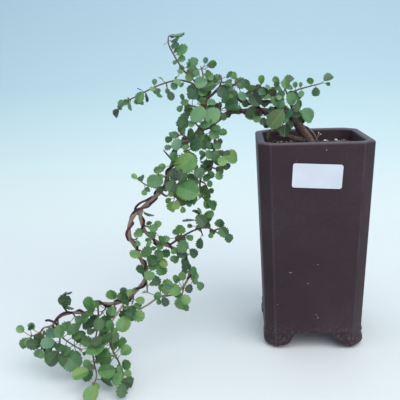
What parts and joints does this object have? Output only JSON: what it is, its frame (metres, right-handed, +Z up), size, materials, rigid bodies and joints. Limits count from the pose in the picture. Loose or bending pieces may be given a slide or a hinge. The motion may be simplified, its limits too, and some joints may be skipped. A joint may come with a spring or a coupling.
{
  "type": "grewia bonsai",
  "caption": "Cascade-style bonsai tree with small toothed leaves and wired branches, planted in a tall square chamfered clay pot on cloud feet.",
  "frame": {"origin": "middle of the underside of the whole object's bounding box, on the surface that the pot stands on", "axes": "+Z up, -Y toward the front of the tree, +X from the tip of the cascade toward the pot"},
  "size_m": [0.342, 0.2104, 0.322],
  "materials": {
    "clay": "unglazed dark brown-purple stoneware, matt with a soft sheen",
    "soil": "dark granular potting soil with a few pale grains",
    "bark": "rough brown bark with tan highlights",
    "wire": "dark anodised soft training wire",
    "label": "blank white sticker",
    "leaf": "fresh green leaf, matt above and paler below"
  },
  "bodies": {
    "root": {"apex_shoot": "leaf", "bend_left_spray": "leaf", "bend_under_spray": "leaf", "crook_left_spray": "leaf", "crook_right_spray": "leaf", "crook_spray": "leaf", "crown_left_spray": "leaf", "crown_middle_spray": "leaf", "crown_right_spray": "leaf", "crown_spray": "leaf", "curve_spray": "leaf", "drop_left_spray": "leaf", "drop_right_spray": "leaf", "drop_upper_spray": "leaf", "fork_left_spray": "leaf", "fork_spray": "leaf", "hanging_branch": "leaf", "hanging_shoot_left": "leaf", "hanging_shoot_right": "leaf", "label": "label", "left_limb_spray": "leaf", "left_middle_low_spray": "leaf", "left_middle_spray": "leaf", "limb_end_spray": "leaf", "limb_spray": "leaf", "limb_top_spray": "leaf", "loop_low_spray": "leaf", "loop_spray": "leaf", "low_left_spray": "leaf", "pot": "clay", "right_bend_spray": "leaf", "right_end_spray": "leaf", "right_inner_spray": "leaf", "right_limb_low_spray": "leaf", "right_limb_spray": "leaf", "right_shoot": "leaf", "right_tail_spray": "leaf", "side_twig": "leaf", "soil": "soil", "stub_spray": "leaf", "tan_twig_spray": "leaf", "tip_lower_spray": "leaf", "tip_spray": "leaf", "training_wire_main": "wire", "training_wire_side": "wire", "trunk_and_branches": "bark", "trunk_front_spray": "leaf", "trunk_right_spray": "leaf", "trunk_top_spray": "leaf", "upper_left_shoot": "leaf", "upright_shoot": "leaf"}
  },
  "joints": []
}
